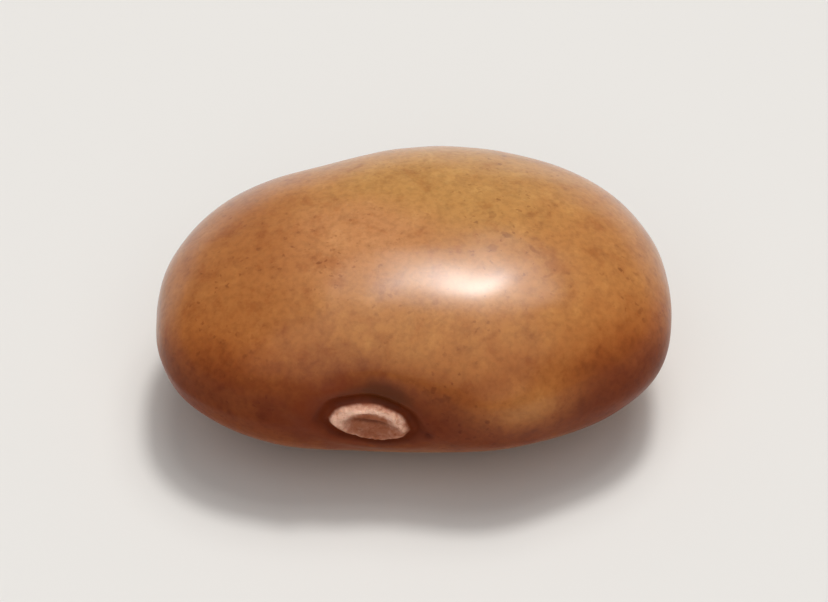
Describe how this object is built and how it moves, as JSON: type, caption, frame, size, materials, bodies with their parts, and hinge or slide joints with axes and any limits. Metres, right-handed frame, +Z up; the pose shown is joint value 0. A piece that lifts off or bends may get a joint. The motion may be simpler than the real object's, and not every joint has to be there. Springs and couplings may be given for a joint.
{
  "type": "horse gram seed",
  "caption": "Whole dry horse gram seed: a flattened, slightly kidney-shaped tan-brown bean with a small pale hilum on one edge, lying on its broad side.",
  "frame": {"origin": "on the resting surface, under the middle of the seed's box", "axes": "+X along the seed's length, -Y towards the edge that carries the hilum, +Z up through the thickness"},
  "size_m": [0.0056, 0.0042, 0.0024],
  "materials": {
    "seed_coat": "smooth semi-gloss seed coat, tan to red-brown, faintly mottled"
  },
  "bodies": {
    "root": {"seed": "seed_coat"}
  },
  "joints": []
}
